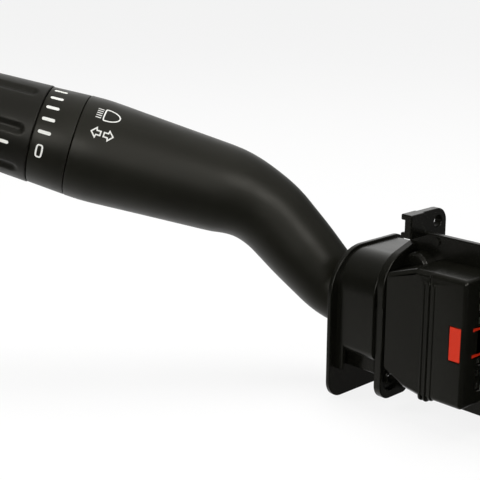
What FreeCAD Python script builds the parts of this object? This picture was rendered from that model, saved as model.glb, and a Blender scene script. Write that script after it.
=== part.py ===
import FreeCAD, Part
import math
import os

# Headlight dimmer switch: a column stalk with a wiper knob, and the switch module that carries it.
# +X is the way the module slides into the column, -Y faces the driver and +Z is up.
# The origin is the middle of the two mounting screw holes, on the +X face of the ear flange.
# All lengths are millimetres and all angles degrees.

V = FreeCAD.Vector

# Fits and gaps
running_gap = 0.3
shaft_fit = 0.05
wall = 1.6
part_line = 0.15

# Mounting screws
screw_pitch = 44.0
screw_lean = 23.3
screw_hole_radius = 1.6
recess_radius = 3.75
recess_depth = 1.0
screw_clear = 8.0

# Ear flange
flange_thickness = 2.5
flange_bottom = -17.5
flange_setback = 0.9
flange_clear = 2.2
flange_left_top = 12.2
flange_slope_top = 16.2
flange_round = 9.6
ear_radius = 4.0
ear_rise = 3.7
bush_radius = 2.4
ear_low_left = 4.9
ear_low_right = 7.0
ear_low_bottom = 6.2

# Turn pivot of the lever, on the flange face
pivot_y = -1.0
pivot_z = -4.5

# Neck and bezel dish
neck_half_width = 13.5
neck_half_height = 11.2
neck_wall = 1.5
neck_corner = 3.0
neck_top = 12.6
neck_big_corner = 10.5
dish_front = -16.8
dish_skin = 1.4
dish_left = -17.0
dish_right = 15.0
dish_bottom = -29.5
dish_top = 13.3
dish_corner = 5.0
dish_big_corner = 13.0
mouth_half_height = 10.8
ledge_drop = 5.0
ledge_inset = 4.5
ledge_end = -5.2
rib_thickness = 1.2
rib_reach = 2.5

# Front housing shell, between the flange and the connector
front_clear = 3.8
shell_left_low = -17.0
shell_left_high = 9.9
shell_end = 14.6
shell_end_low = -21.9
shell_end_high = 13.2
shell_crest = 9.8
shell_edge = 2.2
shell_bevel = 1.1
lip_height = 0.4
lip_width = 1.0
lip_step = 1.5
lip_drop = 2.2

# Spine rail
spine_near = -0.4
spine_thickness = 4.8
spine_start = 2.7
spine_length = 39.3
spine_top = 19.3
spine_bottom = -27.1
spine_corner = 4.0
spine_window_end = 16.5
gusset_rise = 4.0
gusset_end = 1.9
rail_thickness = 1.9
rail_boss_radius = 1.1
rail_boss_x = 6.6
rail_boss_z = 17.4
rail_boss_height = 0.5
hump_radius = 4.1
hump_x = 3.0
hump_z = 10.4
hump_length = 4.6
hump_bevel = 0.8

# Clip block on the upper ear
clip_start = -1.2
clip_reach = 5.7
clip_width = 3.6
clip_height = 6.5
clip_rise = 4.4
clip_lip = 1.6
clip_notch = 1.2
clip_notch_height = 3.4

# Mechanism box behind the spine
box_end = 40.0
cover_clear = 1.3
box_low = -19.0
box_high = 12.0
cover_thickness = 1.8
cover_lip = 1.2
post_radius = 2.7
post_inset = 3.6
post_near = 12.0
cover_screw_radius = 1.25
cover_screw_head = 2.5
cover_screw_length = 9.0

# Connector
connector_end = 25.7
connector_low = -21.2
connector_high = 13.3
connector_edge = 1.4
connector_nose = 1.0
row_pitch = 3.55
row_count = 8
column_pitch = 3.3
column_inset = 2.2
cavity_half = 1.15
socket_half = 0.95
socket_depth = 0.8
socket_length = 5.0
tail_half = 0.4
lock_width = 3.7
lock_height = 9.3
lock_inset = 1.0
lock_plate = 1.2
prong_thickness = 1.0
prong_visible_from = 3.9
board_thickness = 1.6
board_start = 14.8

# Turn carrier
frame_front = 7.0
frame_back = 8.0
frame_half_width = 8.3
frame_half_height = 8.0
frame_wall_side = 2.0
frame_wall_end = 2.2
trunnion_radius = 2.0
trunnion_boss = 3.6
turn_pin_radius = 1.5
turn_pin_hold = 4.0
turn_pin_boss = 2.5
arm_thickness = 3.0
arm_half_height = 3.6
arm_end = 24.0
barrel_radius = 2.4
plunger_radius = 1.5
plunger_tip = 25.9
finger_radius = 0.95
finger_end = 11.4

# Lever root and dimmer pin
root_half_width = 4.6
root_half_height = 5.5
dimmer_pin_radius = 1.5
tail_radius = 1.3
tail_reach = 10.6
spigot_half_width = 5.1
spigot_half_height = 4.4
spigot_corner = 2.6
spigot_length = 6.0
collar_half_width = 6.6
collar_half_height = 6.2
collar_length = 2.2

# Turn range and detent cam
turn_step = 10.0
cam_gap = 0.3
cam_length = 4.5
cam_half_height = 9.5
notch_depth = 1.1
notch_half_width = 1.5

# Contact sliders
slider_front = 9.7
slider_thickness = 1.9
turn_slider_half_height = 4.0
turn_slider_share = 0.6
dimmer_slider_share = 0.35
dimmer_slider_half_height = 5.3
contact_thickness = 0.3

# Cancel pawl
pawl_x = 35.0
pawl_pin_radius = 1.5
pawl_hub = 3.0
pawl_thickness = 3.0
pawl_tip = 47.0
pawl_half = 1.5
pawl_swing = 20.0

# Lever path: a short run through the mouth, a diagonal neck and the long grip
lever_start = -16.0
bend_one_x = -26.0
bend_one_radius = 14.0
neck_azimuth = 34.0
neck_rise = 47.7
neck_length = 36.2
bend_two_radius = 34.0
grip_azimuth = 43.3
grip_rise = 16.15
grip_length = 54.1
lever_wall = 2.2
bend_steps = 6
lever_fan = 8
grip_radius = 14.7
harness_radius = 2.2
seam_top = 70.0
seam_bottom = 262.0

# Grip end: marked ring, wiper knob and washer button
ring_radius = 14.65
ring_end_radius = 14.0
ring_length = 11.1
ring_chamfer = 0.3
case_radius = 9.9
case_length = 15.0
knob_radius = 14.2
knob_end_radius = 13.0
knob_length = 22.0
knob_wall = 2.0
knob_edge = 1.0
flute_count = 7
flute_half_width = 1.7
flute_depth = 0.7
flute_margin = 3.0
flute_phase = -1.7
facing_angle = -76.7
spindle_radius = 3.4
spindle_length = 9.0
button_radius = 9.2
button_proud = 3.0
button_depth = 3.2
button_travel = 2.5
stem_radius = 1.4
rotor_width = 2.4
rotor_rise = 1.6
board_floor = 3.0
grip_board_thickness = 1.0

# Worked-out places
pivot = V(0, pivot_y, pivot_z)
spine_far = spine_near + spine_thickness
spine_end = spine_start + spine_length
half_pitch = screw_pitch / 2
hole_y = half_pitch * math.sin(math.radians(screw_lean))
hole_z = half_pitch * math.cos(math.radians(screw_lean))
connector_mid = (connector_low + connector_high) / 2
plate_end = dish_front + dish_skin
barrel_y = pivot_y + frame_half_width + arm_thickness / 2
finger_y = pivot_y - frame_half_width + frame_wall_side / 2
front_face = pivot_y - frame_half_width - front_clear
flange_right = pivot_y + frame_half_width + arm_thickness + flange_clear
pawl_y = barrel_y + barrel_radius + 0.5
box_back = pawl_y + pawl_thickness + cover_clear
turn_slider_width = turn_slider_share * frame_half_width
dimmer_slider_half_width = dimmer_slider_share * frame_half_width
rotor_outer = case_radius - wall - 0.7
rotor_inner = rotor_outer - rotor_width


def box(x0, x1, y0, y1, z0, z1):
    return Part.makeBox(x1 - x0, y1 - y0, z1 - z0, V(x0, y0, z0))


def rod(radius, start, end):
    along = end - start
    return Part.makeCylinder(radius, along.Length, start, along)


def join(shapes):
    whole = shapes[0]
    for shape in shapes[1:]:
        whole = whole.fuse(shape)
    return whole.removeSplitter()


def mapped(axis, u, v, w):
    if axis == "x":
        return V(w, u, v)
    if axis == "y":
        return V(u, w, v)
    return V(u, v, w)


def rounded_wire(axis, corners, w):
    """Closed outline with a tangent arc of its own radius at each corner (u, v, radius)."""
    arcs = []
    for index, (u, v, radius) in enumerate(corners):
        before = corners[index - 1]
        after = corners[(index + 1) % len(corners)]
        here = V(u, v, 0)
        back = (V(before[0], before[1], 0) - here).normalize()
        onward = (V(after[0], after[1], 0) - here).normalize()
        half = back.getAngle(onward) / 2
        reach = radius / math.tan(half)
        middle = here + (back + onward).normalize() * (radius / math.sin(half) - radius)
        ends = [here + back * reach, middle, here + onward * reach]
        arcs.append([mapped(axis, p.x, p.y, w) for p in ends])
    edges = []
    for index, arc in enumerate(arcs):
        following = arcs[(index + 1) % len(arcs)]
        if arc[0].distanceToPoint(arc[2]) > 1e-6:
            edges.append(Part.Arc(arc[0], arc[1], arc[2]).toShape())
        if arc[2].distanceToPoint(following[0]) > 1e-6:
            edges.append(Part.LineSegment(arc[2], following[0]).toShape())
    return Part.Wire(edges)


def prism(axis, corners, start, end):
    face = Part.Face(rounded_wire(axis, corners, start))
    return face.extrude(mapped(axis, 0, 0, end - start))


def rectangle(u0, u1, v0, v1, radius):
    return [(u0, v0, radius), (u1, v0, radius), (u1, v1, radius), (u0, v1, radius)]


def about_pivot(half_width, half_height, radius):
    return rectangle(pivot_y - half_width, pivot_y + half_width,
                     pivot_z - half_height, pivot_z + half_height, radius)


def helix(radius, wire, length, turns, start, along):
    """Round-wire coil spring of a given length, from its start plane along a direction."""
    path = Part.makeHelix((length - 2 * wire) / turns, length - 2 * wire, radius)
    ring = Part.Wire(Part.makeCircle(wire, V(radius, 0, 0), V(0, 1, 0)))
    coil = Part.Wire(path).makePipeShell([ring], True, True)
    coil.Placement = FreeCAD.Placement(start + along * wire, FreeCAD.Rotation(V(0, 0, 1), along))
    return coil


# Bezel dish and neck

def dish_corners(inset):
    """Dish outline with a large round on the upper driver's side."""
    low = dish_bottom + inset
    high = dish_top - inset
    left = dish_left + inset
    right = dish_right - inset
    small = dish_corner - inset / 2
    return [(left, low, small), (right, low, small), (right, high, small),
            (left, high, dish_big_corner - inset / 2)]


def neck_corners(inset):
    """Neck outline: it follows the dish's large round on the upper driver's side."""
    left = pivot_y - neck_half_width + inset
    right = pivot_y + neck_half_width - inset
    low = pivot_z - neck_half_height + inset
    small = neck_corner - inset
    return [(left, low, small), (right, low, small), (right, neck_top - inset, small),
            (left, neck_top - inset, neck_big_corner - inset)]


def make_bezel_plate():
    plate = prism("x", dish_corners(0), dish_front, plate_end)
    neck = prism("x", neck_corners(0), dish_front + dish_skin / 2, -flange_thickness)
    floor = pivot_z - neck_half_height
    ledge_left = pivot_y - neck_half_width + ledge_inset
    ledge_right = pivot_y + neck_half_width - ledge_inset
    ledge = box(dish_front + dish_skin / 2, ledge_end, ledge_left, ledge_right,
                floor - ledge_drop, floor + 1)
    ledge_void = box(plate_end, ledge_end - neck_wall, ledge_left + neck_wall,
                     ledge_right - neck_wall, floor - ledge_drop - 1, floor - neck_wall)
    ribs = []
    for y in (pivot_y - neck_half_width, pivot_y + neck_half_width - rib_thickness):
        ribs.append(box(dish_front + dish_skin / 2, plate_end + rib_reach, y, y + rib_thickness,
                        floor - ledge_drop, floor + neck_corner))
    outer = join([plate, neck, ledge.cut(ledge_void)] + ribs)
    bore = prism("x", neck_corners(neck_wall), plate_end, 0)
    mouth = prism("x", about_pivot(neck_half_width - neck_wall, mouth_half_height, neck_corner),
                  dish_front - 1, plate_end + 1)
    return outer.cut(bore).cut(mouth).removeSplitter()


# Housing

def flange_plate():
    left = pivot_y - neck_half_width + flange_setback
    right = flange_right
    top = hole_z + ear_rise
    middle = prism("x", [(left, flange_bottom, 2.0), (right, flange_bottom, 2.0), (right, 0, 0),
                         (spine_near, flange_slope_top, 0), (left, flange_left_top, flange_round)],
                   -flange_thickness, 0)
    upper = prism("x", [(spine_near, 0, 0), (right, 0, 0), (right, top, ear_radius),
                        (spine_near, top, 0)], -flange_thickness, 0)
    lower = prism("x", [(-hole_y - ear_low_left, 0, 0),
                        (-hole_y - ear_low_left, -hole_z - ear_low_bottom, ear_radius),
                        (-hole_y + ear_low_right, -hole_z - ear_low_bottom, ear_radius / 2),
                        (-hole_y + ear_low_right, 0, 0)], -flange_thickness, 0)
    return join([middle, upper, lower])


def shell_corners(inset, end):
    """Side outline of the front shell: it flares from the flange to the connector."""
    low = shell_left_low + inset
    high = shell_left_high - inset
    return [(inset - 0.5, low, shell_edge), (6.5, shell_end_low + 1.4 + inset, 6.0),
            (end, shell_end_low + inset, 0), (end, shell_end_high - inset, 0),
            (shell_crest, shell_end_high - inset, 4.0), (inset - 0.5, high, 1.8)]


def front_shell():
    """Outer form of the front shell, bevelled round its driver-side face, with two end lips."""
    shell = prism("y", shell_corners(0, shell_end), front_face, spine_near + 1)
    shell = shell.makeChamfer(shell_bevel, [e for e in shell.Edges
                                            if e.BoundBox.YMax < front_face + 0.01
                                            and e.BoundBox.XMin < shell_end - 0.01])
    lips = []
    for end in (shell_end - lip_step, shell_end):
        lips.append(prism("x", collar_corners(shell_end_low, shell_end_high), end - lip_width, end))
    return [shell] + lips


def collar_corners(low, high):
    """Outline of a lip that stands proud of the shell or of the connector."""
    near = front_face - lip_height / 2
    return [(near, low - lip_height, connector_edge), (spine_near, low - lip_height, 0),
            (spine_near, high - lip_drop, 0), (near, high - lip_drop, connector_edge)]


def clip_block():
    top = hole_z + clip_rise
    left = spine_near - clip_reach
    block = box(clip_start, clip_start + clip_width, left, spine_near + 0.2, top - clip_height, top)
    notch_top = top - clip_lip
    notch = box(clip_start - 1, clip_start + clip_notch, left - 1, spine_near - 1.5,
                notch_top - clip_notch_height, notch_top)
    return block.cut(notch)


def spine_plate():
    plate = prism("y", [(spine_start, spine_bottom, 1.5), (spine_end, spine_bottom, spine_corner),
                        (spine_end, spine_top, spine_corner), (spine_start, spine_top, 0)],
                  spine_near, spine_far)
    plate = plate.cut(box(spine_start - 1, spine_end + 1, spine_near + rail_thickness, spine_far + 1,
                          box_high, spine_top + 1))
    far = spine_start + 0.5
    gusset = prism("y", [(-0.5, shell_left_high, 0), (far, shell_left_high, 0), (far, spine_top, 0),
                         (gusset_end, spine_top, 0), (-0.5, spine_top + gusset_rise, 0)],
                   spine_near, spine_near + rail_thickness)
    centre = V(rail_boss_x, spine_near, rail_boss_z)
    boss = rod(rail_boss_radius, centre + V(0, 1, 0), centre - V(0, rail_boss_height, 0))
    return join([plate, gusset, boss, hump()])


def hump():
    """Half-round crown on the front shell, against the spine."""
    back = V(hump_x, spine_near + 1, hump_z)
    crown = rod(hump_radius, back, V(hump_x, spine_near - hump_length, hump_z))
    return crown.makeChamfer(hump_bevel, [e for e in crown.Edges
                                          if e.BoundBox.YMax < spine_near - hump_length + 0.01])


def post_places():
    low = box_low + post_inset
    high = box_high - post_inset
    far = box_end - post_inset
    return [(post_near, low), (post_near, high), (far, low), (far, high)]


def make_housing():
    back = prism("y", rectangle(-flange_thickness / 2, box_end, box_low, box_high, 2.0),
                 spine_far - 1, box_back)
    solid = join([flange_plate(), spine_plate(), back, clip_block()] + front_shell())

    front_void = prism("y", shell_corners(wall, shell_end + 1), front_face + wall, spine_near)
    centre_void = box(wall, spine_window_end, spine_near - 1, spine_far + 1,
                      pivot_z - neck_half_height + neck_wall, pivot_z + neck_half_height - neck_wall)
    back_void = prism("y", rectangle(wall, box_end - wall, box_low + wall, box_high - wall, 1.0),
                      spine_far, box_back + 1)
    opening = prism("x", rectangle(front_face + wall, flange_right - 1.0,
                                   pivot_z - neck_half_height + neck_wall,
                                   pivot_z + neck_half_height - neck_wall, 1.0),
                    -flange_thickness - 1, wall + 1)
    solid = solid.cut(front_void).cut(centre_void).cut(back_void).cut(opening)

    front_boss = rod(trunnion_boss, V(0, front_face + wall / 2, pivot_z),
                     V(0, trunnion_near(), pivot_z))
    pin_boss = rod(turn_pin_boss, V(0, pin_boss_near(), pivot_z), V(0, box_back, pivot_z))
    posts = [rod(post_radius, V(x, spine_far, z), V(x, box_back, z)) for x, z in post_places()]
    pawl_seat = rod(pawl_hub, V(pawl_x, spine_far - 0.5, pivot_z), V(pawl_x, spine_far + 1.5, pivot_z))
    cam_seat = box(cam_start(), cam_start() + cam_length, spine_far - 0.5, cam_near(),
                   pivot_z - cam_half_height, pivot_z + cam_half_height)
    solid = join([solid, front_boss, pin_boss, pawl_seat, cam_seat] + posts)

    cuts = []
    for sign in (1, -1):
        hole = V(0, sign * hole_y, sign * hole_z)
        cuts.append(rod(screw_hole_radius, hole - V(flange_thickness + 1, 0, 0), hole + V(screw_clear, 0, 0)))
    seat = V(0, -hole_y, -hole_z)
    recess = rod(recess_radius, seat - V(recess_depth, 0, 0), seat + V(1, 0, 0))
    cuts.append(recess.cut(rod(bush_radius, seat - V(recess_depth + 1, 0, 0), seat + V(2, 0, 0))))
    cuts.append(rod(trunnion_radius + shaft_fit, V(0, front_face + wall / 2, pivot_z),
                    V(0, trunnion_near() + 1, pivot_z)))
    cuts.append(rod(turn_pin_radius, V(0, pin_boss_near() - 1, pivot_z),
                    V(0, pin_boss_near() + turn_pin_hold, pivot_z)))
    cuts.append(rod(pawl_pin_radius, V(pawl_x, spine_far - 2.5, pivot_z),
                    V(pawl_x, spine_far + 3, pivot_z)))
    for x, z in post_places():
        cuts.append(rod(cover_screw_radius, V(x, box_back - cover_screw_length, z),
                        V(x, box_back + 1, z)))
    cuts.append(box(box_end - wall - 1, box_end + 1, pawl_y - running_gap,
                    pawl_y + pawl_thickness + running_gap, pivot_z - slot_half(), pivot_z + slot_half()))
    for shape in cuts:
        solid = solid.cut(shape)
    return solid.removeSplitter()


def trunnion_near():
    return pivot_y - frame_half_width - running_gap


def pin_boss_near():
    return pivot_y + frame_half_width + arm_thickness + running_gap


def cam_start():
    return plunger_tip + cam_gap


def cam_near():
    return barrel_y - barrel_radius - 0.4


def slot_half():
    swing = math.radians(pawl_swing)
    return (box_end - pawl_x) * math.tan(swing) + pawl_half / math.cos(swing) + 0.5


def make_rear_cover():
    plate = prism("y", rectangle(-flange_thickness / 2, box_end, box_low, box_high, 2.0),
                  box_back, box_back + cover_thickness)
    plate = plate.makeFillet(0.5, [e for e in plate.Edges
                                   if e.BoundBox.YMin > box_back + cover_thickness - 0.01])
    pawl_boss = rod(pawl_hub, V(pawl_x, box_back + 0.5, pivot_z),
                    V(pawl_x, pawl_y + pawl_thickness + running_gap, pivot_z))
    ribs = []
    for z in (box_low + wall + 6, box_high - wall - 6):
        ribs.append(box(wall + 6, box_end - wall - 6, box_back - cover_lip, box_back + 0.5, z, z + 1.2))
    solid = join([plate, pawl_boss] + ribs)
    solid = solid.cut(rod(pawl_pin_radius, V(pawl_x, 0, pivot_z), V(pawl_x, box_back + 0.4, pivot_z)))
    for x, z in post_places():
        solid = solid.cut(rod(cover_screw_radius, V(x, box_back - 1, z), V(x, box_back + 9, z)))
    return solid.removeSplitter()


def make_cover_screws():
    screws = []
    seat = box_back + cover_thickness
    for x, z in post_places():
        shank = rod(cover_screw_radius, V(x, box_back - cover_screw_length + 0.5, z), V(x, seat + 0.1, z))
        head = rod(cover_screw_head, V(x, seat, z), V(x, seat + 1.7, z))
        head = head.makeFillet(0.5, [e for e in head.Edges if e.BoundBox.YMin > seat + 1.6])
        slot = rod(1.0, V(x, seat + 0.8, z), V(x, seat + 3, z))
        screws.append(shank.fuse(head).cut(slot).removeSplitter())
    return Part.makeCompound(screws)


# Connector

def row_levels():
    return [connector_mid + (index - (row_count - 1) / 2) * row_pitch for index in range(row_count)]


def column_places():
    last = spine_near - column_inset
    return [last - column_pitch, last]


def prong_levels():
    return [connector_mid - row_pitch, connector_mid + row_pitch]


def lock_span():
    end = connector_end - lock_inset
    return end - lock_width, end


def make_connector_housing():
    start = shell_end
    body = prism("x", [(front_face, connector_low, connector_edge), (spine_near, connector_low, 0),
                       (spine_near, connector_high, 0), (front_face, connector_high, connector_edge)],
                 start, connector_end)
    lip = prism("x", collar_corners(connector_low, connector_high), start + 0.6,
                start + 0.6 + lip_width)
    nose = [e for e in body.Edges if e.BoundBox.XMin > connector_end - 0.01
            and e.BoundBox.YMin < spine_near - 0.5]
    body = body.makeFillet(connector_nose, nose)
    solid = join([body, lip])
    recess_end = board_start + board_thickness
    solid = solid.cut(box(start - 1, recess_end, front_face + wall, spine_near + 1,
                          connector_low + wall, connector_high - wall))
    for z in row_levels():
        for y in column_places():
            solid = solid.cut(box(connector_end - socket_depth - socket_length, connector_end + 1,
                                  y - cavity_half, y + cavity_half, z - cavity_half, z + cavity_half))
            solid = solid.cut(box(recess_end - 1, connector_end - socket_depth - 1,
                                  y - tail_half, y + tail_half, z - tail_half, z + tail_half))
    lock_from, lock_to = lock_span()
    half = lock_height / 2
    solid = solid.cut(box(lock_from, lock_to, front_face - 1, front_face + lock_plate + 0.4,
                          connector_mid - half, connector_mid + half))
    for z in prong_levels():
        solid = solid.cut(box(lock_from, lock_to, front_face, spine_near - 1.0,
                              z - prong_thickness / 2, z + prong_thickness / 2))
        solid = solid.cut(box(lock_to - 1, connector_end + 1, front_face + prong_visible_from,
                              spine_near - 1.0, z - prong_thickness / 2, z + prong_thickness / 2))
    return solid.removeSplitter()


def make_terminal_lock():
    lock_from, lock_to = lock_span()
    half = lock_height / 2 - part_line
    solids = [box(lock_from + part_line, lock_to - part_line, front_face + 0.1,
                  front_face + lock_plate + 0.1, connector_mid - half, connector_mid + half)]
    thin = prong_thickness / 2 - part_line / 2
    for z in prong_levels():
        solids.append(box(lock_from + part_line, lock_to - part_line, front_face + lock_plate,
                          spine_near - 1.2, z - thin, z + thin))
        solids.append(box(lock_to - 1, connector_end - 0.1, front_face + prong_visible_from + part_line,
                          spine_near - 1.2, z - thin, z + thin))
    return join(solids)


def make_terminals():
    pins = []
    front = connector_end - socket_depth
    for z in row_levels():
        for y in column_places():
            tube = box(front - socket_length, front, y - socket_half, y + socket_half,
                       z - socket_half, z + socket_half)
            inner = socket_half - 0.35
            tube = tube.cut(box(front - socket_length + 1, front + 1, y - inner, y + inner,
                                z - inner, z + inner))
            tail = box(board_start + board_thickness - 1.0, front - socket_length + 0.2,
                       y - tail_half, y + tail_half, z - tail_half, z + tail_half)
            pins.append(join([tube, tail]))
    return Part.makeCompound(pins)


def make_circuit_board():
    end = board_start + board_thickness
    board = box(board_start, end, front_face + wall + 0.2, spine_near - 0.2,
                connector_low + wall + 0.2, connector_high - wall - 0.2)
    half = frame_half_height + 0.5
    tongue = box(board_start, end - 0.1, spine_near - 1, spine_far - 0.8, pivot_z - half, pivot_z + half)
    board = join([board, tongue])
    for z in row_levels():
        for y in column_places():
            board = board.cut(box(end - 1.0, end + 1, y - tail_half, y + tail_half,
                                  z - tail_half, z + tail_half))
    return board.removeSplitter()


def make_contact_tracks():
    """Copper tracks that the two sliders wipe, laid on the board's inner face."""
    tracks = []
    for z in (-6.0, -1.2, 3.6):
        tracks.append(box(board_start - 0.1, board_start, turn_slider_from() + 1.0,
                          turn_slider_to() - 0.6, pivot_z + z, pivot_z + z + 2.4))
    for y in (-2.6, 0.2):
        tracks.append(box(board_start - 0.1, board_start, pivot_y + y, pivot_y + y + 2.0,
                          pivot_z - 3.0, pivot_z + 3.0))
    return Part.makeCompound(tracks)


# Turn carrier

def make_turn_carrier():
    outer = prism("x", about_pivot(frame_half_width, frame_half_height, 1.0), -frame_front, frame_back)
    inner = prism("x", about_pivot(frame_half_width - frame_wall_side,
                                   frame_half_height - frame_wall_end, 0.5),
                  -frame_front - 1, frame_back + 1)
    near = rod(trunnion_radius, pivot - V(0, frame_half_width - 0.5, 0),
               V(0, front_face + wall / 2 + 0.2, pivot_z))
    arm_near = pivot_y + frame_half_width
    arm = prism("y", rectangle(-frame_front / 2, arm_end - 4, pivot_z - arm_half_height,
                               pivot_z + arm_half_height, 1.5), arm_near - 0.5, arm_near + arm_thickness)
    barrel = rod(barrel_radius, V(arm_end - 11, barrel_y, pivot_z), V(arm_end, barrel_y, pivot_z))
    finger = rod(finger_radius, V(frame_back - 0.5, finger_y, pivot_z), V(finger_end, finger_y, pivot_z))
    solid = join([outer.cut(inner), near, arm, barrel, finger])
    solid = solid.cut(rod(turn_pin_radius + shaft_fit, V(0, arm_near - frame_wall_side - 1, pivot_z),
                          V(0, arm_near + arm_thickness + 1, pivot_z)))
    solid = solid.cut(rod(plunger_radius, V(arm_end - 9, barrel_y, pivot_z),
                          V(arm_end + 1, barrel_y, pivot_z)))
    pin_ends = frame_half_height + 1
    solid = solid.cut(rod(dimmer_pin_radius, pivot - V(0, 0, pin_ends), pivot + V(0, 0, pin_ends)))
    return solid.removeSplitter()


def make_turn_pin():
    """Steel pin pressed into the housing boss; the carrier's far side turns on it."""
    near = pivot_y + frame_half_width - frame_wall_side + 0.2
    return rod(turn_pin_radius, V(0, near, pivot_z), V(0, pin_boss_near() + turn_pin_hold, pivot_z))


def make_dimmer_pin():
    end = V(0, 0, frame_half_height)
    return rod(dimmer_pin_radius, pivot - end, pivot + end)


def make_detent_plunger():
    shank = rod(plunger_radius - 0.02, V(arm_end - 4, barrel_y, pivot_z),
                V(plunger_tip - plunger_radius, barrel_y, pivot_z))
    nose = Part.makeSphere(plunger_radius - 0.02, V(plunger_tip - plunger_radius, barrel_y, pivot_z))
    return join([shank, nose])


def make_plunger_spring():
    return helix(plunger_radius - 0.35, 0.25, 4.9, 5, V(arm_end - 9, barrel_y, pivot_z), V(1, 0, 0))


def make_detent_cam():
    """Block with a track centred on the pivot and a notch at left, centre and right."""
    start = cam_start() - 2.2
    block = box(start, cam_start() + cam_length, cam_near(), barrel_y + barrel_radius,
                pivot_z - 9.3, pivot_z + 9.3)
    track = rod(cam_start(), V(0, cam_near() - 1, pivot_z), V(0, barrel_y + 9, pivot_z))
    block = block.cut(track)
    for step in (-turn_step, 0, turn_step):
        notch = Part.makePolygon([V(cam_start() - 0.4, cam_near() - 1, -notch_half_width),
                                  V(cam_start() + notch_depth, cam_near() - 1, 0),
                                  V(cam_start() - 0.4, cam_near() - 1, notch_half_width),
                                  V(cam_start() - 0.4, cam_near() - 1, -notch_half_width)])
        wedge = Part.Face(notch).extrude(V(0, 20, 0))
        wedge.rotate(V(0, 0, 0), V(0, 1, 0), step)
        wedge.translate(V(0, 0, pivot_z))
        block = block.cut(wedge)
    return block.removeSplitter()


# Contact sliders

def turn_slider_from():
    return finger_y - turn_slider_width / 2


def turn_slider_to():
    return turn_slider_from() + turn_slider_width


def slider_hole_half():
    lean = math.radians(turn_step)
    return finger_radius / math.cos(lean) + slider_thickness / 2 * math.tan(lean) + running_gap


def make_turn_slider():
    back = slider_front + slider_thickness
    block = prism("x", rectangle(turn_slider_from(), turn_slider_to(), pivot_z - turn_slider_half_height,
                                 pivot_z + turn_slider_half_height, 0.6), slider_front, back)
    half = slider_hole_half()
    return block.cut(box(slider_front - 1, back + 1, finger_y - finger_radius - running_gap,
                         finger_y + finger_radius + running_gap, pivot_z - half, pivot_z + half))


def contact_leaf(y, z, along):
    """Sprung copper finger: a foot on the slider and a bowed tip just short of the board."""
    foot = slider_front + slider_thickness
    reach = board_start - 0.1 - running_gap
    mid = (foot + reach) / 2
    thick = contact_thickness
    points = [(0, foot), (0, foot + thick), (along * 1.2, foot + thick), (along * 2.6, reach),
              (along * 3.2, reach), (along * 3.6, mid + 0.3), (along * 3.3, mid),
              (along * 2.7, reach - thick * 1.6), (along * 1.5, foot), (0, foot)]
    wire = Part.makePolygon([V(x, y - 0.4, z + step) for step, x in points])
    return Part.Face(wire).extrude(V(0, 0.8, 0))


def make_turn_contacts():
    leaves = []
    for y in (turn_slider_from() + 0.7, turn_slider_to() - 0.7):
        for along in (1, -1):
            leaves.append(contact_leaf(y, pivot_z + along * 0.1, along))
    return Part.makeCompound(leaves)


def make_dimmer_slider():
    back = slider_front + slider_thickness
    block = prism("x", about_pivot(dimmer_slider_half_width, dimmer_slider_half_height, 0.8),
                  slider_front, back)
    slot = about_pivot(tail_radius + running_gap + 0.1, dimmer_slider_half_height - 1.3, 0.8)
    return block.cut(prism("x", slot, slider_front - 1, back + 1))


def make_dimmer_contacts():
    leaves = []
    for side in (1, -1):
        y = pivot_y + side * (dimmer_slider_half_width - 0.65)
        for along in (1, -1):
            leaves.append(contact_leaf(y, pivot_z + along * 0.1, along))
    return Part.makeCompound(leaves)


# Cancel pawl

def make_cancel_pawl():
    hub = rod(pawl_hub, V(pawl_x, pawl_y, pivot_z), V(pawl_x, pawl_y + pawl_thickness, pivot_z))
    lever = prism("y", [(pawl_x - 5.5, pivot_z - 1.2, 0.6), (pawl_tip - 3, pivot_z - pawl_half, 1.0),
                        (pawl_tip, pivot_z - 0.6, 0.5), (pawl_tip, pivot_z + 0.6, 0.5),
                        (pawl_tip - 3, pivot_z + pawl_half, 1.0), (pawl_x - 5.5, pivot_z + 1.2, 0.6)],
                  pawl_y, pawl_y + pawl_thickness)
    solid = join([hub, lever])
    return solid.cut(rod(pawl_pin_radius + shaft_fit, V(pawl_x, pawl_y - 1, pivot_z),
                         V(pawl_x, pawl_y + pawl_thickness + 1, pivot_z))).removeSplitter()


def make_pawl_pin():
    return rod(pawl_pin_radius, V(pawl_x, spine_far - 2.5, pivot_z), V(pawl_x, box_back + 0.4, pivot_z))


def make_pawl_spring():
    start = V(pawl_x, spine_far + 1.6, pivot_z)
    return helix(pawl_pin_radius + 0.7, 0.35, pawl_y - spine_far - 2.0, 6, start, V(0, 1, 0))


# Lever path

def direction(azimuth, rise):
    """Unit vector towards the driver's left: azimuth from -X towards -Y, rise above level."""
    a = math.radians(azimuth)
    r = math.radians(rise)
    return V(-math.cos(a) * math.cos(r), -math.sin(a) * math.cos(r), math.sin(r))


grip_way = direction(grip_azimuth, grip_rise)
neck_way = direction(neck_azimuth, neck_rise)
bend_one = V(bend_one_x, pivot_y, pivot_z)
bend_two = bend_one + neck_way * neck_length


def bend_data(corner, into, out, radius):
    turn = into.getAngle(out)
    reach = radius * math.tan(turn / 2)
    axis = into.cross(out).normalize()
    start = corner - into * reach
    centre = start + axis.cross(into) * radius
    return {"start": start, "centre": centre, "axis": axis, "turn": turn, "reach": reach,
            "radius": radius, "into": into}


first_bend = bend_data(bend_one, V(-1, 0, 0), neck_way, bend_one_radius)
second_bend = bend_data(bend_two, neck_way, grip_way, bend_two_radius)
run_one = lever_start - (bend_one_x + first_bend["reach"])
arc_one = first_bend["radius"] * first_bend["turn"]
run_two = neck_length - first_bend["reach"] - second_bend["reach"]
arc_two = second_bend["radius"] * second_bend["turn"]
run_three = grip_length - second_bend["reach"]
lever_length = run_one + arc_one + run_two + arc_two + run_three
grip_end = bend_two + grip_way * grip_length


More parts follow.
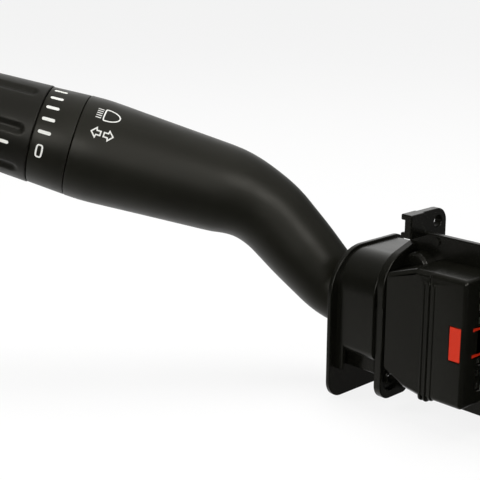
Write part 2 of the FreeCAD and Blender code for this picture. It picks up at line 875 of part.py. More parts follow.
def turned(vector, axis, angle):
    return FreeCAD.Rotation(axis, math.degrees(angle)).multVec(vector)


def on_path(distance):
    """Point and heading at a distance along the lever's centre line from its root end."""
    if distance <= run_one:
        return V(lever_start - distance, pivot_y, pivot_z), V(-1, 0, 0)
    distance -= run_one
    for bend, arc, run in ((first_bend, arc_one, run_two), (second_bend, arc_two, run_three)):
        angle = min(distance, arc) / bend["radius"]
        point = bend["centre"] + turned(bend["start"] - bend["centre"], bend["axis"], angle)
        heading = turned(bend["into"], bend["axis"], angle)
        if distance <= arc + run or bend is second_bend:
            return point + heading * max(distance - arc, 0), heading
        distance -= arc + run


def rim_points(row, shrink, angles):
    """Points on the lever's super-ellipse section at the given angles from the rear side."""
    distance, half_side, half_up, squareness = row
    point, heading = on_path(distance)
    side = heading.cross(V(0, 0, 1)).normalize()
    up = side.cross(heading).normalize()
    points = []
    for angle in angles:
        c = math.cos(math.radians(angle))
        s = math.sin(math.radians(angle))
        across = math.copysign(abs(c) ** (2 / squareness), c) * (half_side - shrink)
        above = math.copysign(abs(s) ** (2 / squareness), s) * (half_up - shrink)
        points.append(point + side * across + up * above)
    return points


def rim_curve(row, shrink, start, end):
    angles = [start + (end - start) * index / lever_fan for index in range(lever_fan + 1)]
    curve = Part.BSplineCurve()
    curve.interpolate(rim_points(row, shrink, angles))
    return curve


def segment(start, end):
    return Part.LineSegment(start, end).toShape()


def lever_profile():
    """Distance along the path, half width, half height and squareness, root end first."""
    neck = run_one + arc_one
    shoulder = neck + run_two
    grip = shoulder + arc_two
    rows = [(0, 0.524, 0.463, 2.8), (run_one, 0.558, 0.510, 2.6),
            (run_one + arc_one / 2, 0.616, 0.602, 2.2), (neck, 0.660, 0.660, 2.0),
            (neck + run_two / 2, 0.712, 0.712, 2.0), (shoulder, 0.735, 0.735, 2.0),
            (shoulder + arc_two / 2, 0.768, 0.768, 2.0), (grip, 0.868, 0.868, 2.0),
            (grip + run_three * 0.5, 0.950, 0.950, 2.0), (grip + run_three * 0.87, 1.014, 1.014, 2.0),
            (lever_length, 1.0, 1.0, 2.0)]
    return [(at, wide * grip_radius, high * grip_radius, square) for at, wide, high, square in rows]


def lever_section(distance):
    """One section, read off the profile by straight interpolation."""
    rows = lever_profile()
    for low, high in zip(rows, rows[1:]):
        if distance <= high[0] + 1e-9:
            part = (distance - low[0]) / (high[0] - low[0])
            return [distance] + [a + (b - a) * part for a, b in zip(low[1:], high[1:])]
    return list(rows[-1])


def lever_stations():
    """Distances of the sections, closer together in the two bends."""
    stations = [0.0]
    for length, steps in ((run_one, 1), (arc_one, bend_steps), (run_two, 3), (arc_two, bend_steps),
                          (run_three, 4)):
        begin = stations[-1]
        stations += [begin + length * (index + 1) / steps for index in range(steps)]
    return stations


def lever_shell(start, end):
    """Half shell of ruled bands between C-shaped sections, closed at both seams and both ends."""
    rows = [lever_section(distance) for distance in lever_stations()]
    pairs = [(rim_curve(row, 0, start, end), rim_curve(row, lever_wall, start, end)) for row in rows]
    ends = (pairs[0], pairs[-1])
    faces = [Part.makeRuledSurface(outer.toShape(), inner.toShape()) for outer, inner in ends]
    for (outer, inner), (next_outer, next_inner) in zip(pairs, pairs[1:]):
        faces.append(Part.makeRuledSurface(outer.toShape(), next_outer.toShape()))
        faces.append(Part.makeRuledSurface(inner.toShape(), next_inner.toShape()))
        faces.append(Part.makeRuledSurface(segment(outer.StartPoint, inner.StartPoint),
                                           segment(next_outer.StartPoint, next_inner.StartPoint)))
        faces.append(Part.makeRuledSurface(segment(outer.EndPoint, inner.EndPoint),
                                           segment(next_outer.EndPoint, next_inner.EndPoint)))
    skin = Part.makeCompound(faces)
    skin.sewShape()
    solid = Part.Solid(Part.Shell(skin.Faces))
    if solid.Volume < 0:
        solid.reverse()
    return solid


def make_lever_front_shell():
    return lever_shell(seam_top, seam_bottom)


def make_lever_rear_shell():
    return lever_shell(seam_bottom, seam_top + 360)


def make_lever_root():
    """Moulded core: spigot in the shell, arm through the neck, pivot block and drive tail."""
    spigot = prism("x", about_pivot(spigot_half_width, spigot_half_height, spigot_corner),
                   lever_start - spigot_length, lever_start + 1)
    collar = prism("x", about_pivot(collar_half_width, collar_half_height, spigot_corner),
                   lever_start, lever_start + collar_length)
    arm = prism("x", about_pivot(root_half_width, root_half_height, 1.5), lever_start + 1, 5.0)
    tail = box(4.5, tail_reach, pivot_y - tail_radius + 0.2, pivot_y + tail_radius - 0.2,
               pivot_z - tail_radius, pivot_z + tail_radius)
    nose = rod(tail_radius, V(tail_reach, pivot_y, pivot_z - tail_radius),
               V(tail_reach, pivot_y, pivot_z + tail_radius))
    solid = join([spigot, collar, arm, tail, nose])
    reach = root_half_height + 1
    solid = solid.cut(rod(dimmer_pin_radius + shaft_fit, pivot - V(0, 0, reach), pivot + V(0, 0, reach)))
    bore = rod(harness_radius, V(lever_start - spigot_length - 1, pivot_y, pivot_z),
               V(lever_start + 6, pivot_y, pivot_z))
    return solid.cut(bore).removeSplitter()


def make_lever_harness():
    """Wire bundle from the grip switch down the hollow lever into the root."""
    start = V(lever_start + 5.5, pivot_y, pivot_z)
    arc_starts = [first_bend["start"], second_bend["start"]]
    edges = [Part.LineSegment(start, arc_starts[0]).toShape()]
    here = run_one
    for arc, run in ((arc_one, run_two), (arc_two, run_three - case_back())):
        points = [on_path(here + arc * part)[0] for part in (0, 0.5, 1)]
        edges.append(Part.Arc(points[0], points[1], points[2]).toShape())
        here += arc
        edges.append(Part.LineSegment(points[2], on_path(here + run)[0]).toShape())
        here += run
    path = Part.Wire(edges)
    ring = Part.Wire(Part.makeCircle(harness_radius - 0.1, start, V(1, 0, 0)))
    return path.makePipeShell([ring], True, True)


def case_back():
    return case_length - ring_length + 0.2


# Grip end, built along its own axis and then placed: local z 0 is the end of the lever shell

def at_grip(shape):
    side = grip_way.cross(V(0, 0, 1)).normalize()
    up = side.cross(grip_way).normalize()
    turn = FreeCAD.Rotation(up, grip_way.cross(up), grip_way, "ZXY")
    placed = shape.copy()
    placed.Placement = FreeCAD.Placement(grip_end, turn)
    return placed


def turned_profile(points):
    """Solid of revolution about the local z axis from (radius, height) points."""
    wire = Part.makePolygon([V(r, 0, h) for r, h in points + [points[0]]])
    return Part.Face(wire).revolve(V(0, 0, 0), V(0, 0, 1), 360)


knob_start = part_line * 2 + ring_length
knob_end = knob_start + knob_length


def make_marked_ring():
    low = part_line
    high = ring_length
    c = ring_chamfer
    near = ring_radius
    far = ring_end_radius
    return at_grip(turned_profile([(case_radius, low), (near - c, low), (near, low + c), (far, high - c),
                                   (far - c, high), (case_radius, high)]))


def make_grip_switch_case():
    """Cup pushed into the lever end: it carries the ring, the contact board and the spindle."""
    top = ring_length
    bottom = top - case_length
    shell_inner = grip_radius - lever_wall - 0.1
    floor = top - board_floor
    cup = turned_profile([(harness_radius, bottom), (shell_inner, bottom), (shell_inner, 0),
                          (case_radius, 0), (case_radius, top - 1.4), (case_radius - wall, top - 1.4),
                          (case_radius - wall, floor), (spindle_radius, floor),
                          (spindle_radius, knob_start + spindle_length),
                          (stem_radius + 0.4, knob_start + spindle_length),
                          (stem_radius + 0.4, floor - 2), (harness_radius, floor - 2)])
    return at_grip(cup)


def make_grip_board():
    floor = ring_length - board_floor
    top = floor + grip_board_thickness
    outer = case_radius - wall - 0.1
    return at_grip(turned_profile([(spindle_radius + 0.1, floor), (outer, floor), (outer, top),
                                   (spindle_radius + 0.1, top)]))


def make_rotor_contact():
    low = ring_length - rotor_rise
    body = turned_profile([(rotor_inner, low), (rotor_outer, low), (rotor_outer, knob_start + 0.5),
                           (rotor_inner, knob_start + 0.5)])
    return at_grip(body.cut(box(-9, 9, -0.9, 0.9, low - 1, low + 0.8)))


def flute_tool(angle, base):
    """Round-ended groove cutter lying on the knob's surface."""
    start = base + flute_margin
    depth_radius = (flute_half_width ** 2 + flute_depth ** 2) / (2 * flute_depth)
    taper = (knob_radius - knob_end_radius) / knob_length
    centre = knob_radius - taper * flute_margin - flute_depth + depth_radius
    seat = V(centre, 0, start + flute_half_width)
    cutter = rod(depth_radius, seat, seat + V(-taper, 0, 1) * (2 * knob_length))
    ball = Part.makeSphere(depth_radius, seat)
    tool = cutter.fuse(ball)
    tool.rotate(V(0, 0, 0), V(0, 0, 1), angle)
    return tool


def make_wiper_knob():
    low = knob_start
    high = knob_end
    near = knob_radius
    far = knob_end_radius
    e = knob_edge
    bore = button_radius + running_gap
    inner = far - knob_wall - flute_depth
    floor = low + 2.0
    hub = spindle_radius + shaft_fit
    deck = high - button_depth - button_travel - 2.2
    body = turned_profile([(hub, low), (near - e / 2, low), (near, low + e / 2), (far, high - 2 * e),
                           (far - e, high - e / 2), (far - 2.2 * e, high), (bore, high), (bore, deck),
                           (inner, deck), (inner, floor), (hub + 1.6, floor),
                           (hub + 1.6, low + spindle_length - 1), (hub, low + spindle_length - 1)])
    for index in range(flute_count):
        body = body.cut(flute_tool(view_angle(flute_phase + index * 360 / flute_count), low))
    seat = turned_profile([(rotor_inner, low - 1), (rotor_outer, low - 1), (rotor_outer, low + 0.5),
                           (rotor_inner, low + 0.5)])
    return at_grip(body.cut(seat).removeSplitter())


def view_angle(angle):
    """Turns an angle seen from the driver's seat into the grip's own angle about its axis."""
    return facing_angle - angle


def make_washer_button():
    top = knob_end + button_proud
    bottom = knob_end - button_depth
    r = button_radius
    cap = turned_profile([(0, bottom), (r, bottom), (r, top - 1.6), (r - 0.5, top - 0.6),
                          (r - 1.6, top), (0, top - 0.7)])
    stem_end = ring_length - board_floor + grip_board_thickness + button_travel + running_gap
    stem = Part.makeCylinder(stem_radius, bottom - stem_end + 0.5, V(0, 0, stem_end))
    return at_grip(join([cap, stem]))


def make_button_spring():
    start = knob_start + spindle_length
    length = knob_end - button_depth - start
    side = helix(spindle_radius - 0.7, 0.35, length - 0.1, 5, V(0, 0, start), V(0, 0, 1))
    return at_grip_move(side)


def at_grip_move(shape):
    """Places a shape that already has a placement of its own."""
    holder = at_grip(Part.Vertex(0, 0, 0)).Placement
    moved = shape.copy()
    moved.Placement = holder.multiply(moved.Placement)
    return moved


def check(name, shape):
    solids = shape.Solids
    volume = sum(solid.Volume for solid in solids)
    print(name, "solids", len(solids), "valid", shape.isValid(), "volume %.1f" % volume)


nodes = {
    "bezel_plate": make_bezel_plate,
    "housing": make_housing,
    "rear_cover": make_rear_cover,
    "cover_screws": make_cover_screws,
    "connector_housing": make_connector_housing,
    "terminal_lock": make_terminal_lock,
    "terminals": make_terminals,
    "circuit_board": make_circuit_board,
    "contact_tracks": make_contact_tracks,
    "turn_carrier": make_turn_carrier,
    "turn_pin": make_turn_pin,
    "dimmer_pin": make_dimmer_pin,
    "detent_plunger": make_detent_plunger,
    "plunger_spring": make_plunger_spring,
    "detent_cam": make_detent_cam,
    "turn_slider": make_turn_slider,
    "turn_contacts": make_turn_contacts,
    "dimmer_slider": make_dimmer_slider,
    "dimmer_contacts": make_dimmer_contacts,
    "cancel_pawl": make_cancel_pawl,
    "pawl_pin": make_pawl_pin,
    "pawl_spring": make_pawl_spring,
    "lever_root": make_lever_root,
    "lever_front_shell": make_lever_front_shell,
    "lever_rear_shell": make_lever_rear_shell,
    "lever_harness": make_lever_harness,
    "marked_ring": make_marked_ring,
    "grip_switch_case": make_grip_switch_case,
    "grip_board": make_grip_board,
    "rotor_contact": make_rotor_contact,
    "wiper_knob": make_wiper_knob,
    "washer_button": make_washer_button,
    "button_spring": make_button_spring,
}

os.makedirs("parts", exist_ok=True)
for name, maker in nodes.items():
    shape = maker()
    check(name, shape)
    shape.exportStep("parts/" + name + ".step")
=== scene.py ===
import math

import bmesh
import bpy
import numpy as np
from mathutils import Matrix


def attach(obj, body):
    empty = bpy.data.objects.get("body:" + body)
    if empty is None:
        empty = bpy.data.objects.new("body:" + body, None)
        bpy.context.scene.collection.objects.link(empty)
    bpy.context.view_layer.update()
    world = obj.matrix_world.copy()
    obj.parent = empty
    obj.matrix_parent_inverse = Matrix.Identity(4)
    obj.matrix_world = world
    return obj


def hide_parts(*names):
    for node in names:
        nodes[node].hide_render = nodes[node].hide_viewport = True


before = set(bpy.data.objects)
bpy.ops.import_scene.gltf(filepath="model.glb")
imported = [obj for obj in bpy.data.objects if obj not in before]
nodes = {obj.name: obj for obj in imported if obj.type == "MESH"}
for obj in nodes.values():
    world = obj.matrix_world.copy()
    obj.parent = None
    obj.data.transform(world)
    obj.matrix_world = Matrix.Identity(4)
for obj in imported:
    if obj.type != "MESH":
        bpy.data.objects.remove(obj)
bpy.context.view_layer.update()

mm = 0.001
scene = bpy.context.scene
print("frame loaded:", len(nodes), "nodes")


def unit(v):
    v = np.asarray(v, float)
    return v / np.linalg.norm(v, axis=-1, keepdims=True)


def heading(azimuth, rise):
    # unit vector: azimuth from -X towards -Y, rise above level, in degrees
    a, r = math.radians(azimuth), math.radians(rise)
    return np.array([-math.cos(a) * math.cos(r), -math.sin(a) * math.cos(r), math.sin(r)])


def gridFaces(rows, cols, wrapRows=False, wrapCols=False):
    # quads between neighbours of a rows x cols grid of points, row by row
    rowCount = rows if wrapRows else rows - 1
    colCount = cols if wrapCols else cols - 1
    i, j = np.meshgrid(np.arange(rowCount), np.arange(colCount), indexing="ij")
    nextI, nextJ = (i + 1) % rows, (j + 1) % cols
    quads = np.stack([i * cols + j, i * cols + nextJ, nextI * cols + nextJ, nextI * cols + j], -1)
    return quads.reshape(-1, 4)


def meshFrom(name, points, faces):
    # points in millimetres, faces as rows of point numbers
    mesh = bpy.data.meshes.new(name)
    points = np.asarray(points, float).reshape(-1, 3) * mm
    mesh.vertices.add(len(points))
    mesh.vertices.foreach_set("co", points.astype(np.float32).ravel())
    faces = np.asarray(faces, np.int32)
    size = faces.shape[1]
    mesh.loops.add(faces.size)
    mesh.loops.foreach_set("vertex_index", faces.ravel())
    mesh.polygons.add(len(faces))
    mesh.polygons.foreach_set("loop_start", np.arange(0, faces.size, size, dtype=np.int32))
    mesh.update(calc_edges=True)
    mesh.validate()
    return mesh


merging = {"merge": 0.002, "sliver": 0.0005}


def tidyMesh(mesh, merge=merging["merge"]):
    # merges doubled points, drops slivers and turns every face outwards; distances in mm
    work = bmesh.new()
    work.from_mesh(mesh)
    bmesh.ops.remove_doubles(work, verts=work.verts, dist=merge * mm)
    bmesh.ops.dissolve_degenerate(work, edges=work.edges, dist=merging["sliver"] * mm)
    bmesh.ops.recalc_face_normals(work, faces=work.faces)
    work.to_mesh(mesh)
    work.free()
    mesh.update()
    return mesh


def addPiece(name, mesh, material, body, stoodFor=(), sharpAngle=35):
    # smooth shaded but for edges above sharpAngle, in degrees
    piece = bpy.data.objects.new(name, mesh)
    scene.collection.objects.link(piece)
    mesh.materials.clear()
    mesh.materials.append(material)
    mesh.shade_smooth()
    mesh.set_sharp_from_angle(angle=math.radians(sharpAngle))
    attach(piece, body)
    if stoodFor:
        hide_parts(*stoodFor)
    return piece


# finishes: colour, how far patches stray from it, gloss range, grain per metre and its height in mm;
# shine is the strength of the plain reflection where it isn't the usual one
finishes = {
    "satinBlack": {"colour": (0.0088, 0.0086, 0.0060), "patch": 1.20,
                   "rough": (0.37, 0.43), "grain": 2600, "bump": 0.008},
    "ringBlack": {"colour": (0.0088, 0.0086, 0.0060), "patch": 1.20,
                  "rough": (0.37, 0.43), "grain": 2600, "bump": 0.010},
    "knobBlack": {"colour": (0.0066, 0.0064, 0.0048), "patch": 1.20,
                  "rough": (0.38, 0.46), "grain": 2400, "bump": 0.014},
    "glossBlack": {"colour": (0.0046, 0.0046, 0.0034), "patch": 1.15,
                   "rough": (0.20, 0.25), "grain": 900, "bump": 0.002},
    "connectorBlack": {"colour": (0.0052, 0.0052, 0.0038), "patch": 1.15,
                       "rough": (0.22, 0.27), "grain": 900, "bump": 0.002},
    "nylonGrey": {"colour": (0.030, 0.030, 0.031), "patch": 1.5,
                  "rough": (0.45, 0.60), "grain": 1300, "bump": 0.02},
    "acetalNatural": {"colour": (0.70, 0.68, 0.61), "patch": 1.06,
                      "rough": (0.35, 0.48), "grain": 1000, "bump": 0.006},
    "lockRed": {"colour": (0.50, 0.020, 0.004), "patch": 1.10,
                "rough": (0.32, 0.44), "grain": 1500, "bump": 0.006, "shine": 0.3},
    "boardGreen": {"colour": (0.020, 0.12, 0.045), "patch": 1.20,
                   "rough": (0.30, 0.45), "grain": 900, "bump": 0.01},
    "wireGrey": {"colour": (0.16, 0.16, 0.17), "patch": 1.15,
                 "rough": (0.45, 0.58), "grain": 1500, "bump": 0.01},
    "printWhite": {"colour": (0.74, 0.74, 0.70), "patch": 1.05,
                   "rough": (0.45, 0.58), "grain": 2200, "bump": 0.008},
}
metals = {
    "steel": {"colour": (0.56, 0.56, 0.57), "patch": 1.12,
              "rough": (0.22, 0.38), "grain": 900, "bump": 0.010},
    "tin": {"colour": (0.46, 0.45, 0.42), "patch": 1.12,
            "rough": (0.34, 0.50), "grain": 1200, "bump": 0.008},
    "copper": {"colour": (0.72, 0.36, 0.22), "patch": 1.12,
               "rough": (0.24, 0.40), "grain": 1200, "bump": 0.008},
}
texture = {
    # scale per metre and detail of the noises, the part of their range that counts, and the plain gloss
    "patches": (90.0, 3.0), "sheen": (260.0, 5.0), "grainDetail": 2.0, "range": (0.3, 0.7),
    "bumpStrength": 0.6, "shine": 0.5, "shineTint": (1.0, 0.97, 0.89, 1),
}


def link(tree, source, target):
    tree.links.new(source, target)


def noiseIn(tree, where, scale, detail):
    noise = tree.nodes.new("ShaderNodeTexNoise")
    noise.inputs["Scale"].default_value = scale
    noise.inputs["Detail"].default_value = detail
    link(tree, where.outputs["Object"], noise.inputs["Vector"])
    return noise.outputs["Fac"]


def moulded(name, s, metallic=0.0):
    # slow patches move the colour between base / sqrt(patch) and base * sqrt(patch), a medium noise
    # varies the gloss, a fine one is the surface grain
    material = bpy.data.materials.new(name)
    material.use_nodes = True
    tree = material.node_tree
    shader = tree.nodes["Principled BSDF"]
    where = tree.nodes.new("ShaderNodeTexCoord")
    ramp = tree.nodes.new("ShaderNodeValToRGB")
    base, stray = np.array(s["colour"]), s["patch"] ** 0.5
    tones = (base / stray, np.minimum(base * stray, 1))
    for stop, at, tone in zip(ramp.color_ramp.elements, texture["range"], tones):
        stop.position = at
        stop.color = (*tone, 1)
    link(tree, noiseIn(tree, where, *texture["patches"]), ramp.inputs["Fac"])
    link(tree, ramp.outputs["Color"], shader.inputs["Base Color"])
    spread = tree.nodes.new("ShaderNodeMapRange")
    limits = (*texture["range"], *s["rough"])
    for socket, value in zip(("From Min", "From Max", "To Min", "To Max"), limits):
        spread.inputs[socket].default_value = value
    link(tree, noiseIn(tree, where, *texture["sheen"]), spread.inputs["Value"])
    link(tree, spread.outputs["Result"], shader.inputs["Roughness"])
    bump = tree.nodes.new("ShaderNodeBump")
    bump.inputs["Strength"].default_value = texture["bumpStrength"]
    bump.inputs["Distance"].default_value = s["bump"] * mm
    link(tree, noiseIn(tree, where, s["grain"], texture["grainDetail"]), bump.inputs["Height"])
    link(tree, bump.outputs["Normal"], shader.inputs["Normal"])
    shader.inputs["Metallic"].default_value = metallic
    if metallic == 0:
        shader.inputs["Specular Tint"].default_value = texture["shineTint"]
        shader.inputs["Specular IOR Level"].default_value = s.get("shine", texture["shine"])
    return material


mat = {name: moulded(name, s) for name, s in finishes.items()}
mat.update({name: moulded(name, s, 1.0) for name, s in metals.items()})
print("finishes made:", len(mat))


# lever: its centre line, and how its section grows along it; lengths in mm, angles in degrees
lever = {
    "pivotY": -1.0, "pivotZ": -4.5, "start": -16.0,
    "bendOneX": -26.0, "bendOneRadius": 14.0,
    "neckAzimuth": 34.0, "neckRise": 47.7, "neckLength": 36.2,
    "bendTwoRadius": 34.0, "gripAzimuth": 43.3, "gripRise": 16.15, "gripLength": 54.1,
    "wall": 2.2, "seamTop": 70.0, "seamBottom": 262.0, "seamGap": 0.03, "seamRadius": 12.0,
    "stations": 150, "fan": 72, "edgeRound": 0.25, "edgeSteps": 5, "endTrim": 0.35,
    "easeReach": 5.0, "easeSteps": 21, "sharp": 50,
}
neckWay = heading(lever["neckAzimuth"], lever["neckRise"])
gripWay = heading(lever["gripAzimuth"], lever["gripRise"])
rootWay = np.array([-1.0, 0.0, 0.0])
turnOne, turnTwo = math.acos(rootWay @ neckWay), math.acos(neckWay @ gripWay)
reachOne = lever["bendOneRadius"] * math.tan(turnOne / 2)
reachTwo = lever["bendTwoRadius"] * math.tan(turnTwo / 2)
runOne = lever["start"] - lever["bendOneX"] - reachOne
arcOne = lever["bendOneRadius"] * turnOne
runTwo = lever["neckLength"] - reachOne - reachTwo
arcTwo = lever["bendTwoRadius"] * turnTwo
runThree = lever["gripLength"] - reachTwo
pathEnds = np.cumsum([runOne, arcOne, runTwo, arcTwo, runThree])
leverLength = pathEnds[-1]


def alongPath(s):
    # centre line: straight, arc, straight, arc, straight, each adding its own displacement
    s = np.asarray(s, float)[..., None]
    inwardOne = unit(neckWay - rootWay * (rootWay @ neckWay))
    inwardTwo = unit(gripWay - neckWay * (neckWay @ gripWay))
    a = np.clip(s - pathEnds[0], 0, arcOne) / lever["bendOneRadius"]
    b = np.clip(s - pathEnds[2], 0, arcTwo) / lever["bendTwoRadius"]
    root = np.array([lever["start"], lever["pivotY"], lever["pivotZ"]])
    point = root + rootWay * np.clip(s, 0, runOne)
    point = point + lever["bendOneRadius"] * (np.sin(a) * rootWay + (1 - np.cos(a)) * inwardOne)
    point = point + neckWay * np.clip(s - pathEnds[1], 0, runTwo)
    point = point + lever["bendTwoRadius"] * (np.sin(b) * neckWay + (1 - np.cos(b)) * inwardTwo)
    point = point + gripWay * np.clip(s - pathEnds[3], 0, None)
    first = np.cos(a) * rootWay + np.sin(a) * inwardOne
    second = np.cos(b) * neckWay + np.sin(b) * inwardTwo
    way = np.where(s <= pathEnds[2], first, second)
    return point, way


gripRadius = 14.7
sections = np.array([
    # place along the path, half width and half height over the grip's radius, squareness
    (0, 0.524, 0.463, 2.8),
    (runOne, 0.558, 0.510, 2.6),
    (runOne + arcOne / 2, 0.616, 0.602, 2.2),
    (pathEnds[1], 0.660, 0.660, 2.0),
    (pathEnds[1] + runTwo / 2, 0.712, 0.712, 2.0),
    (pathEnds[2], 0.735, 0.735, 2.0),
    (pathEnds[2] + arcTwo / 2, 0.768, 0.768, 2.0),
    (pathEnds[3], 0.868, 0.868, 2.0),
    (pathEnds[3] + runThree * 0.5, 0.950, 0.950, 2.0),
    (pathEnds[3] + runThree * 0.87, 1.014, 1.014, 2.0),
    (leverLength, 1.0, 1.0, 2.0),
])
sections[:, 1:3] *= gripRadius


def eased(s, values):
    # the rows read straight between them, then averaged over a short reach both ways with cosine
    # squared weights; the reach shrinks to nothing at both ends
    reach = lever["easeReach"]
    shifts = np.linspace(-reach, reach, lever["easeSteps"])
    weights = np.cos(shifts / reach * math.pi / 2) ** 2
    s = np.asarray(s, float)
    fade = np.clip(np.minimum(s, leverLength - s) / reach, 0, 1)
    total = sum(w * np.interp(s + d * fade, sections[:, 0], values) for d, w in zip(shifts, weights))
    return total / weights.sum()


def leverSurface(s, angle, lift):
    # super-ellipse section |x / wide|^square + |y / high|^square = 1 about the centre line; angle from
    # the rear side towards up, in degrees
    s, angle, lift = np.broadcast_arrays(np.asarray(s, float), angle, lift)
    point, way = alongPath(s)
    side = unit(np.cross(way, [0.0, 0.0, 1.0]))
    up = np.cross(side, way)
    wide, high, square = (eased(s, sections[:, column]) for column in (1, 2, 3))
    c, q = np.cos(np.radians(angle)), np.sin(np.radians(angle))
    across = np.sign(c) * np.abs(c) ** (2 / square) * (wide + lift)
    above = np.sign(q) * np.abs(q) ** (2 / square) * (high + lift)
    return point + side * across[..., None] + up * above[..., None]


def halfShell(firstAngle, lastAngle):
    # outer skin, rounded end rim, inner skin and back again, closed along both seams
    rim = lever["edgeRound"]
    end = leverLength - lever["endTrim"]
    run = np.linspace(rim, end - rim, lever["stations"])
    turn = np.linspace(0, math.pi / 2, lever["edgeSteps"])
    endS = end - rim + rim * np.sin(turn)[1:]
    endLift = -rim + rim * np.cos(turn)[1:]
    startS = (rim - rim * np.sin(turn)[1:])[::-1]
    startLift = endLift[::-1]
    outS = np.concatenate([startS, run, endS])
    outLift = np.concatenate([startLift, np.zeros(len(run)), endLift])
    inS = np.linspace(end, 0, lever["stations"] // 2)
    inLift = np.full(len(inS), -lever["wall"])
    s = np.concatenate([outS, inS])
    lift = np.concatenate([outLift, inLift])
    gap = math.degrees(lever["seamGap"] / lever["seamRadius"])
    angles = np.linspace(firstAngle + gap, lastAngle - gap, lever["fan"])
    points = leverSurface(s[:, None], angles[None, :], lift[:, None])
    rows, cols = points.shape[:2]
    faces = gridFaces(rows, cols, wrapRows=True)
    # the two seam faces join the outer skin to the inner one, station by station
    outer = np.arange(len(outS))
    last = len(inS) - 1
    matching = rows - 1 - np.clip(np.round(outS / end * last).astype(int), 0, last)
    seams = []
    for edge in (0, cols - 1):
        a, b = outer[:-1] * cols + edge, outer[1:] * cols + edge
        c, d = matching[1:] * cols + edge, matching[:-1] * cols + edge
        seams.append(np.stack([a, b, c, d], -1))
    return points, np.concatenate([faces] + seams)


def cleanQuads(faces):
    # drops a quad's doubled corner so that it is stored as a triangle
    kept = []
    for quad in faces.tolist():
        corners = [v for k, v in enumerate(quad) if v != quad[k - 1]]
        if len(set(corners)) >= 3:
            kept.append(corners)
    return kept


def addShell(name, start, end, node):
    points, faces = halfShell(start, end)
    mesh = bpy.data.meshes.new(name)
    mesh.from_pydata((points.reshape(-1, 3) * mm).tolist(), [], cleanQuads(faces))
    return addPiece(name, tidyMesh(mesh), mat["satinBlack"], "lever", [node], lever["sharp"])


addShell("leverFrontSkin", lever["seamTop"], lever["seamBottom"], "lever_front_shell")
addShell("leverRearSkin", lever["seamBottom"], lever["seamTop"] + 360, "lever_rear_shell")
print("lever skins made, length", round(leverLength, 2))


# grip end: ring, knob and button are turned about the grip's own axis
gripEnd = alongPath(leverLength)[0].reshape(3)
gripSide = unit(np.cross(gripWay, [0.0, 0.0, 1.0]))
gripUp = np.cross(gripSide, gripWay)


def gripPoint(radius, angle, height):
    # polar place about the grip axis: angle from up towards the rear side, height past the shell's end
    a = np.radians(angle)
    radius, a, height = np.broadcast_arrays(radius, a, height)
    flat = gripUp * (radius * np.cos(a))[..., None] + gripSide * (radius * np.sin(a))[..., None]
    return gripEnd + flat + gripWay * height[..., None]


def arcProfile(corner, radius, startAngle, endAngle, steps=5):
    # (radius, height) points of a quarter round about a corner's centre
    t = np.radians(np.linspace(startAngle, endAngle, steps))
    return [(corner[0] + radius * math.cos(x), corner[1] + radius * math.sin(x)) for x in t]


def latheFaces(profile, cols, shape=None):
    # closed profile of (radius, height) carried once round the axis; shape may pull the radius in
    rows = np.array(profile)
    angles = np.arange(cols) * 360 / cols
    radius = np.repeat(rows[:, :1], cols, 1)
    height = np.repeat(rows[:, 1:], cols, 1)
    if shape is not None:
        radius = radius - shape(radius, angles[None, :], height)
    points = gripPoint(radius, angles[None, :], height)
    return points, gridFaces(len(rows), cols, wrapRows=True, wrapCols=True)


ring = {
    # sizes in mm; the collar reaches up under the knob and closes the view through the joint
    "radius": 14.65, "endRadius": 14.0, "start": -0.20, "end": 10.62, "chamfer": 0.25, "inner": 9.9,
    "collar": 13.2, "collarRise": 0.45, "cols": 160, "sharp": 40,
}


def ringProfile():
    # a slim cone with both rims rounded, and a low collar that reaches up under the knob
    low, high, r, end, c = (ring[key] for key in ("start", "end", "radius", "endRadius", "chamfer"))
    outer = arcProfile((r - c, low + c), c, -90, 0) + arcProfile((end - c, high - c), c, 0, 90)
    inner, collar, top = ring["inner"], ring["collar"], high + ring["collarRise"]
    return [(inner, low)] + outer + [(collar, high), (collar, top), (inner, top)]


points, faces = latheFaces(ringProfile(), ring["cols"])
addPiece("markedRing", tidyMesh(meshFrom("markedRing", points, faces)), mat["ringBlack"], "lever",
         ["marked_ring"], ring["sharp"])


knob = {
    # sizes in mm: outline, flutes, and the well in its outer end that holds the button
    "radius": 14.2, "endRadius": 13.0, "start": 10.82, "length": 22.58, "edge": 0.7, "crown": 2.75,
    "mouth": 9.5, "lip": 0.3, "wellDepth": 7.9, "hub": 3.6, "collarGap": 0.3, "collarRoom": 0.2,
    "flutes": 7, "fluteHalf": 2.1, "fluteDepth": 0.8, "fluteStart": 1.9, "fluteSkin": 1.0,
    "facing": -76.7, "phase": 1.0, "sideRows": 60, "sideFrom": 0.4, "sideTo": 0.3,
    "cols": 336, "sharp": 50,
}
knobEnd = knob["start"] + knob["length"]


def knobRadius(height):
    # the knob narrows evenly from the ring to its outer end
    return np.interp(height, [knob["start"], knobEnd], [knob["radius"], knob["endRadius"]])


def fluteShape(radius, angle, height):
    # rounded grooves along the knob: depth * (1 + cos(pi * far)) / 2, where far is the distance from the
    # groove's line over its half width; they ease in at the inner end and are open at the outer one
    pitch = 360 / knob["flutes"]
    centre = knob["facing"] - knob["phase"]
    off = (angle - centre + pitch / 2) % pitch - pitch / 2
    across = np.radians(off) * knobRadius(height) / knob["fluteHalf"]
    inner = knob["start"] + knob["fluteStart"]
    beyond = np.clip((inner + knob["fluteHalf"] - height) / knob["fluteHalf"], 0, None)
    far = np.sqrt(across ** 2 + beyond ** 2)
    dip = knob["fluteDepth"] * (0.5 + 0.5 * np.cos(np.pi * np.clip(far, 0, 1)))
    return np.where(radius > knob["mouth"] + knob["fluteSkin"], dip, 0)


